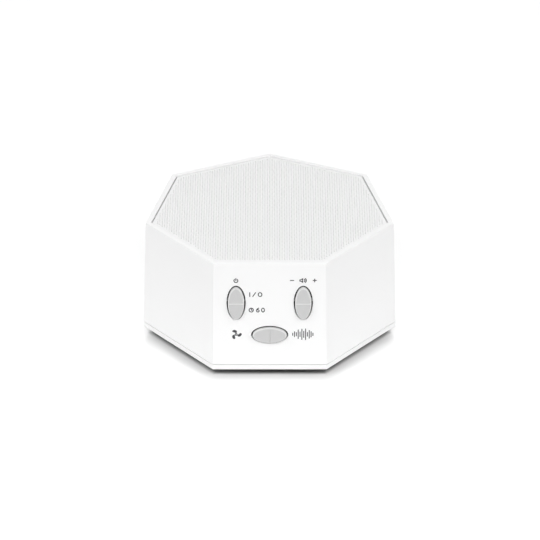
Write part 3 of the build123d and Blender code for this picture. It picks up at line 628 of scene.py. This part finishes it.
# ---------------------------------------------------------------- grille
COLUMN_STEP = 1.073  # from one column of holes to the next
HOLE_PITCH = COLUMN_STEP * 2 / math.sqrt(3)  # along a column
HOLE_RADIUS = 0.37  # to the corners of a six-sided hole
HOLE_MARGIN = 0.18  # least sheet between a hole and the folded lip
SHEET = grille_top - grille_low
BEND = 0.4
BEND_STEPS = 4
LIP_DEPTH = 2.4  # of the folded edge, under the sheet
PLACE_DIGITS = 4  # vertices whose places are the same to so many decimals are one


def heptagon(apothem):
    """The seven corners in the plane; corner n ends side n."""
    reach = apothem / cos(HALF_STEP)
    angles = [-math.pi / 2 + HALF_STEP * (2 * n + 1) for n in range(SIDES)]
    return [Vector((reach * cos(a), reach * sin(a))) for a in angles]


def clipped(polygon, apothem):
    """The part of a convex polygon that lies inside the heptagon."""
    for normal in SIDE_NORMALS:
        kept = []
        for a, b in zip(polygon, polygon[1:] + polygon[:1]):
            da, db = a.dot(normal) - apothem, b.dot(normal) - apothem
            if da <= 0:
                kept.append(a)
            if (da < 0 < db) or (db < 0 < da):
                kept.append(a.lerp(b, da / (da - db)))
        polygon = kept
        if len(polygon) < 3:
            return []
    return polygon


class SheetMesh:
    """Vertices shared by place, and faces over them."""

    def __init__(self):
        self.places, self.vertices, self.faces = {}, [], []

    def vertex(self, point, z):
        key = tuple(round(number, PLACE_DIGITS) for number in (*point, z))
        if key not in self.places:
            self.places[key] = len(self.vertices)
            self.vertices.append((point.x, point.y + axis_y, z))
        return self.places[key]

    def face(self, corners, z, up):
        loop = [self.vertex(p, z) for p in corners]
        loop = [v for n, v in enumerate(loop) if v != loop[n - 1]]
        if len(loop) > 2:
            self.faces.append(loop if up else loop[::-1])


def grille_cells():
    """The six-sided cells of the hole pattern: centre and corners, shared by neighbours."""
    reach = grille_front / cos(HALF_STEP)
    columns = int(reach / COLUMN_STEP) + 2
    rows = int(reach / HOLE_PITCH) + 2
    across, along = COLUMN_STEP / 3, HOLE_PITCH / 2
    steps = [(2, 0), (1, 1), (-1, 1), (-2, 0), (-1, -1), (1, -1)]
    for column in range(-columns, columns + 1):
        for row in range(-rows, rows + 1):
            x, y = 3 * column, 2 * row + column % 2
            corners = [Vector(((x + a) * across, (y + b) * along)) for a, b in steps]
            yield Vector((x * across, y * along)), corners


def add_grille():
    """Perforated sheet with its edge folded down all round."""
    sheet = SheetMesh()
    top_edge = grille_front - BEND
    low_edge = grille_front - SHEET
    hole_limit = low_edge - HOLE_RADIUS - HOLE_MARGIN
    turns = [math.pi / 3 * n for n in range(6)]
    hole_corners = [HOLE_RADIUS * Vector((cos(turn), sin(turn))) for turn in turns]
    for centre, corners in grille_cells():
        has_hole = all(centre.dot(n) < hole_limit for n in SIDE_NORMALS)
        hole = [centre + corner for corner in hole_corners]
        for edge, z, up in ((top_edge, grille_top, True), (low_edge, grille_low, False)):
            part = clipped(corners, edge)
            if has_hole and part:
                for triangle in ring_triangles(part, hole):
                    sheet.face(triangle, z, up)
            elif part:
                sheet.face(part, z, up)
        if has_hole:
            for a, b in zip(hole, hole[1:] + hole[:1]):
                wall = [(b, grille_top), (a, grille_top), (a, grille_low), (b, grille_low)]
                sheet.faces.append([sheet.vertex(*w) for w in wall])
    fold_edges(sheet, top_edge, low_edge)
    data = bpy.data.meshes.new("grille_sheet")
    data.from_pydata(sheet.vertices, [], sheet.faces)
    data.validate()
    mesh = bmesh.new()
    mesh.from_mesh(data)
    bmesh.ops.remove_doubles(mesh, verts=mesh.verts, dist=MERGE)
    piece = add_piece("grille_sheet", mesh, "casing", "white_sheet")
    smooth(piece, degrees=40)
    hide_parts("speaker_grille")


def fold_edges(sheet, top_edge, low_edge):
    """The bend and the lip, from the sheet's top edge round to its underside."""
    profile = [(top_edge, grille_top)]
    for step in range(1, BEND_STEPS + 1):
        angle = math.pi / 2 * step / BEND_STEPS
        profile.append((top_edge + BEND * sin(angle), grille_top - BEND * (1 - cos(angle))))
    lip_low = grille_low - LIP_DEPTH
    profile += [(grille_front, lip_low), (low_edge, lip_low), (low_edge, grille_low)]
    for number, normal in enumerate(SIDE_NORMALS):
        along = Vector((-normal.y, normal.x))
        for (a1, z1), (a2, z2) in zip(profile, profile[1:]):
            low_loop = side_vertices(sheet, number, normal, along, a1, z1)
            high_loop = side_vertices(sheet, number, normal, along, a2, z2)
            sheet.faces.append(low_loop[::-1] + high_loop)


def side_vertices(sheet, number, normal, along, apothem, z):
    """The vertices along one side of a heptagon at a height, from start to end."""
    corners = heptagon(apothem)
    ends = [sheet.vertex(corners[number - 1], z), sheet.vertex(corners[number], z)]
    if z not in (grille_top, grille_low):
        return ends
    key = ("side", number, z)
    if key not in sheet.places:
        found = []
        for index, (x, y, height) in enumerate(sheet.vertices):
            point = Vector((x, y - axis_y))
            if max(abs(height - z), abs(point.dot(normal) - apothem)) < ON_EDGE:
                found.append((point.dot(along), index))
        sheet.places[key] = [index for _, index in sorted(found)]
    return sheet.places[key]


# ---------------------------------------------------------------- printed symbols
SYMBOL_PLACES = {  # along and up the front facet
    "power": (-14.6, 40.95),
    "volume": (14.57, 40.98),
    "switch": (-6.02, 34.14),
    "timer": (-5.49, 26.6),
    "fan": (-14.6, 14.7),
    "noise": (14.4, 14.78),
}
STROKE = 0.42
SIGN_RADIUS = 0.93  # half the height of the signs beside the power button
HUB_RADIUS = 0.42
HUB_GAP = 0.3
BLADE_TURNS = (90, 210, 330)  # degrees
BLADE_TIP = 2.45
BLADE_STEPS = 12
BLADE_SWEEP = 34  # degrees that a blade leans from root to tip
BLADE_WIDTH = 30  # degrees to either side of its middle, where it is widest
BLADE_WAVE = (0.12, 0.98)  # share of a sine's half wave at its root and at its tip
BLADE_FULLNESS = 0.6
BAR_GAP = 0.8
BAR_REACHES = (0.5, 1.2, 0.8, 2.1, 1.1, 2.5, 1.5, 2.6, 0.9, 1.9, 1.3, 0.6)
INK_PROUD = 0.02
ARC_STEP = radians(10)


def arc_points(x, y, radius, start, end, squash=1.0):
    """Points along an arc, from a start to an end angle in degrees."""
    steps = max(2, round(abs(radians(end - start)) / ARC_STEP))
    turns = [radians(start + (end - start) * n / steps) for n in range(steps + 1)]
    return [(x + radius * squash * cos(a), y + radius * sin(a)) for a in turns]


def power_symbol(x, y):
    ring = arc_points(x, y - 0.1, 0.85, 128, 412)
    return [ring, [(x, y), (x, y + 0.95)]]


def volume_symbols(x, y):
    """A minus, a loudspeaker with two waves, and a plus."""
    body = [(-1.5, -0.35), (-0.95, -0.35), (-0.3, -0.9), (-0.3, 0.9), (-0.95, 0.35), (-1.5, 0.35)]
    horn = [(x + a, y + b) for a, b in body]
    waves = [arc_points(x - 0.2, y, r, -42, 42) for r in (0.85, 1.45)]
    minus = [(x - 5.6, y), (x - 4.2, y)]
    plus = [[(x + 4.2, y), (x + 5.6, y)], [(x + 4.9, y - 0.7), (x + 4.9, y + 0.7)]]
    return [horn + horn[:1], minus, *waves, *plus]


def switch_symbols(x, y):
    """A bar, a slash and a ring, the plain signs for on and off."""
    low, high = y - SIGN_RADIUS, y + SIGN_RADIUS
    bar = [(x - 2.6, low), (x - 2.6, high)]
    slash = [(x - 1.3, low), (x - 0.1, high)]
    return [bar, slash, arc_points(x + 1.85, y, SIGN_RADIUS, 0, 360, squash=0.85)]


def timer_symbols(x, y):
    """A clock face, then the plain number 60."""
    clock = arc_points(x - 2.5, y, SIGN_RADIUS, 0, 360)
    hands = [(x - 2.5, y + 0.55), (x - 2.5, y), (x - 2.1, y - 0.05)]
    six = arc_points(x + 0.35, y - 0.36, 0.56, 180, 540)
    six = arc_points(x + 1.05, y - 0.3, 1.26, 105, 180) + six
    zero = arc_points(x + 2.6, y, SIGN_RADIUS, 0, 360, squash=0.66)
    return [clock, hands, six, zero]


def fan_blades(x, y):
    """The outlines of three curved blades, narrow at the root and round at the tip."""
    root = HUB_RADIUS + HUB_GAP
    start, end = BLADE_WAVE
    blades = []
    for turn in BLADE_TURNS:
        front, back = [], []
        for step in range(BLADE_STEPS + 1):
            share = step / BLADE_STEPS
            reach = root + (BLADE_TIP - root) * share
            middle = turn + BLADE_SWEEP * share
            wave = sin(math.pi * (start + (end - start) * share))
            width = BLADE_WIDTH * wave**BLADE_FULLNESS
            front.append(polar(x, y, reach, middle + width))
            back.append(polar(x, y, reach, middle - width))
        blades.append(front + back[::-1])
    return blades


def polar(x, y, radius, degrees):
    return (x + radius * cos(radians(degrees)), y + radius * sin(radians(degrees)))


def noise_symbol(x, y):
    """Upright bars of uneven height."""
    start = x - BAR_GAP * (len(BAR_REACHES) - 1) / 2
    bars = [(start + BAR_GAP * n, reach) for n, reach in enumerate(BAR_REACHES)]
    return [[(place, y - reach), (place, y + reach)] for place, reach in bars]


def ink_plate(mesh, outline):
    """A flat patch of ink on the panel, from its outline."""
    top = [mesh.verts.new(panel_point(x, y, INK_PROUD)) for x, y in outline]
    low = [mesh.verts.new(panel_point(x, y, -INK_PROUD)) for x, y in outline]
    mesh.faces.new(top)
    mesh.faces.new(low[::-1])
    for n in range(len(top)):
        mesh.faces.new((top[n - 1], low[n - 1], low[n], top[n]))


def add_stroke(mesh, points):
    """One line of ink, with round ends and joints."""
    half = STROKE / 2
    for (x1, y1), (x2, y2) in zip(points, points[1:]):
        lean = math.degrees(math.atan2(y2 - y1, x2 - x1))
        outline = arc_points(x2, y2, half, lean - 90, lean + 90)
        outline += arc_points(x1, y1, half, lean + 90, lean + 270)
        ink_plate(mesh, outline)


def add_print():
    """The symbols beside the buttons, where the panel is printed."""
    mesh = bmesh.new()
    lines = power_symbol(*SYMBOL_PLACES["power"])
    lines += volume_symbols(*SYMBOL_PLACES["volume"])
    lines += switch_symbols(*SYMBOL_PLACES["switch"])
    lines += timer_symbols(*SYMBOL_PLACES["timer"])
    lines += [arc_points(*SYMBOL_PLACES["fan"], HUB_RADIUS, 0, 360)]
    lines += noise_symbol(*SYMBOL_PLACES["noise"])
    for line in lines:
        add_stroke(mesh, line)
    for blade in fan_blades(*SYMBOL_PLACES["fan"]):
        ink_plate(mesh, blade)
    add_piece("panel_symbols", mesh, "casing", material=materials["print_ink"])


# ---------------------------------------------------------------- stage and light
SKY_LOW = 0.7  # brightness near the horizon
SKY_HIGH = 0.43
SKY_CHANGE = (0.05, 0.5)  # sines of the elevations that it changes between
FLOOR_POOL_NEAR = 0.95  # painted pool of light: how much light the floor gives back, beside the object
FLOOR_POOL_FAR = 0.42
NEAR_REACH = 100.0  # from the middle, over the seven-sided floor bands
FAR_REACH = 260.0
FLOOR_SEEN = 1.22  # its brightness to the camera
FLOOR_PAINTED_SHADOW = 0.25  # painted shadow: share of it that is left deep under the base
UNDER_INSET = 0.5  # of the shade's edge from the facets' lower edge
UNDER_START = 1.0  # from the shade's edge inwards
UNDER_END = 4.5
SIDE_LAG = 0.6  # less light comes in under the other sides than under the front, so the painted shadow reaches further out there
FLOOR_GLOSS = 0.28
FLOOR_ROUGHNESS = 0.16
FLOOR_SIZE = 6.0  # metres, as are the lamps' distance and size
LAMP_DISTANCE = 1.3
LAMP_SIZE = 0.5
LAMPS = [  # name, degrees from straight ahead, elevation, level
    ("front", 0, 45, 0.214),
    ("left", -55, 36, 0.266),
    ("right", 55, 36, 0.266),
    ("rear", 180, 45, 0.1),
]


def add_world():
    """Soft light all round, less near the horizon; mirrors and the camera see white."""
    world = bpy.data.worlds.new("studio")
    bpy.context.scene.world = world
    world.use_nodes = True
    nodes, links = world.node_tree.nodes, world.node_tree.links
    nodes.clear()
    out = nodes.new("ShaderNodeOutputWorld")
    place = nodes.new("ShaderNodeTexCoord")
    parts = nodes.new("ShaderNodeSeparateXYZ")
    links.new(place.outputs["Generated"], parts.inputs["Vector"])
    level = nodes.new("ShaderNodeMapRange")
    level.interpolation_type = "SMOOTHSTEP"
    level.inputs["From Min"].default_value = SKY_CHANGE[0]
    level.inputs["From Max"].default_value = SKY_CHANGE[1]
    level.inputs["To Min"].default_value = SKY_LOW
    level.inputs["To Max"].default_value = SKY_HIGH
    links.new(parts.outputs["Z"], level.inputs["Value"])
    light = nodes.new("ShaderNodeBackground")
    light.inputs["Color"].default_value = (1, 1, 1, 1)
    links.new(level.outputs["Result"], light.inputs["Strength"])
    seen = nodes.new("ShaderNodeBackground")
    seen.inputs["Color"].default_value = (1, 1, 1, 1)
    seen.inputs["Strength"].default_value = 1.0
    mix = nodes.new("ShaderNodeMixShader")
    links.new(seen_rays(nodes, links), mix.inputs["Fac"])
    links.new(light.outputs["Background"], mix.inputs[1])
    links.new(seen.outputs["Background"], mix.inputs[2])
    links.new(mix.outputs["Shader"], out.inputs["Surface"])


def seen_rays(nodes, links):
    """1 for rays from the camera, a mirror or glass, and 0 for light's own rays."""
    path = nodes.new("ShaderNodeLightPath")
    total = path.outputs["Is Camera Ray"]
    for name in ("Is Glossy Ray", "Is Transmission Ray"):
        add = nodes.new("ShaderNodeMath")
        add.operation = "ADD"
        add.use_clamp = True
        links.new(total, add.inputs[0])
        links.new(path.outputs[name], add.inputs[1])
        total = add.outputs["Value"]
    return total


def add_floor():
    """A glossy white table top, which reads as white where it is seen directly, but for a shadow painted on under
    the base. The light it gives back is a painted pool, strongest beside the object and none under the base.
    """
    mesh = bmesh.new()
    bmesh.ops.create_grid(mesh, x_segments=1, y_segments=1, size=FLOOR_SIZE / 2 / MM)
    data = bpy.data.meshes.new("floor")
    mesh.to_mesh(data)
    mesh.free()
    data.transform(Matrix.Scale(MM, 4))
    floor = bpy.data.objects.new("floor", data)
    bpy.context.scene.collection.objects.link(floor)
    material, nodes, links, shader = new_material("floor")
    nodes.remove(shader)
    reach = seven_sided_reach(nodes, links)
    edge = axis_y - panel_y - UNDER_INSET
    # painted pool of light: the floor gives back more light beside the object than far out
    near = ramp(nodes, links, reach, NEAR_REACH, FAR_REACH, FLOOR_POOL_NEAR, FLOOR_POOL_FAR)
    # painted shade: the floor gives back no light from under the base
    painted_shade_under_base = ramp(nodes, links, reach, edge - UNDER_START, edge, 0, 1)
    returned = nodes.new("ShaderNodeMath")
    returned.operation = "MULTIPLY"
    links.new(near, returned.inputs[0])
    links.new(painted_shade_under_base, returned.inputs[1])
    lit = nodes.new("ShaderNodeBsdfDiffuse")
    links.new(returned.outputs["Value"], lit.inputs["Color"])
    # painted shadow under the base, in the floor's brightness to the camera
    under = (edge - UNDER_END, edge - UNDER_START)
    seen_with_painted_shadow = ramp(nodes, links, reach, *under, FLOOR_SEEN * FLOOR_PAINTED_SHADOW, FLOOR_SEEN)
    white = nodes.new("ShaderNodeBsdfDiffuse")
    links.new(seen_with_painted_shadow, white.inputs["Color"])
    gloss = nodes.new("ShaderNodeBsdfGlossy")
    gloss.inputs["Color"].default_value = (1, 1, 1, 1)
    gloss.inputs["Roughness"].default_value = FLOOR_ROUGHNESS
    seen = nodes.new("ShaderNodeMixShader")
    seen.inputs["Fac"].default_value = FLOOR_GLOSS
    links.new(white.outputs["BSDF"], seen.inputs[1])
    links.new(gloss.outputs["BSDF"], seen.inputs[2])
    mix = nodes.new("ShaderNodeMixShader")
    links.new(seen_rays(nodes, links), mix.inputs["Fac"])
    links.new(lit.outputs["BSDF"], mix.inputs[1])
    links.new(seen.outputs["Shader"], mix.inputs[2])
    links.new(mix.outputs["Shader"], nodes["Material Output"].inputs["Surface"])
    data.materials.append(material)


def seven_sided_reach(nodes, links):
    """How far out a point of the floor lies, as the apothem of a heptagon through it."""
    place = nodes.new("ShaderNodeTexCoord")
    centred = nodes.new("ShaderNodeVectorMath")
    centred.operation = "SUBTRACT"
    centred.inputs[1].default_value = (0, axis_y * MM, 0)
    links.new(place.outputs["Object"], centred.inputs[0])
    reach = None
    for normal in SIDE_NORMALS:
        along = nodes.new("ShaderNodeVectorMath")
        along.operation = "DOT_PRODUCT"
        along.inputs[1].default_value = (*normal, 0)
        links.new(centred.outputs["Vector"], along.inputs[0])
        if reach is None:
            reach = along.outputs["Value"]
            continue
        less = nodes.new("ShaderNodeMath")
        less.operation = "SUBTRACT"
        less.inputs[1].default_value = SIDE_LAG * MM
        links.new(along.outputs["Value"], less.inputs[0])
        most = nodes.new("ShaderNodeMath")
        most.operation = "MAXIMUM"
        links.new(reach, most.inputs[0])
        links.new(less.outputs["Value"], most.inputs[1])
        reach = most.outputs["Value"]
    return reach


def ramp(nodes, links, value, low, high, start, end):
    """A soft step from one tone to another, between two lengths in millimetres."""
    step = nodes.new("ShaderNodeMapRange")
    step.interpolation_type = "SMOOTHSTEP"
    step.inputs["From Min"].default_value = low * MM
    step.inputs["From Max"].default_value = high * MM
    step.inputs["To Min"].default_value = start
    step.inputs["To Max"].default_value = end
    links.new(value, step.inputs["Value"])
    return step.outputs["Result"]


def add_softbox(name, azimuth, elevation, level):
    """A square lamp aimed at the object. Level is how bright it alone makes white."""
    data = bpy.data.lights.new(name, "AREA")
    data.shape = "SQUARE"
    data.size = LAMP_SIZE
    data.energy = level * (math.pi * LAMP_DISTANCE) ** 2
    lamp = bpy.data.objects.new(name, data)
    turn, rise = radians(azimuth), radians(elevation)
    toward = Vector((sin(turn) * cos(rise), -cos(turn) * cos(rise), sin(rise)))
    lamp.location = toward * LAMP_DISTANCE
    lamp.rotation_euler = (-toward).to_track_quat("-Z", "Y").to_euler()
    bpy.context.scene.collection.objects.link(lamp)


bpy.context.scene.view_settings.view_transform = "Standard"
add_camera()
add_world()
add_floor()
for lamp in LAMPS:
    add_softbox(*lamp)
dress_cad_nodes()
add_housing()
add_base()
add_base_screws()
add_soft_rings()
add_keypad()
add_grille()
add_rockers()
add_print()

for node in frame["nodes"].values():
    if not node.hide_render:
        smooth(node)
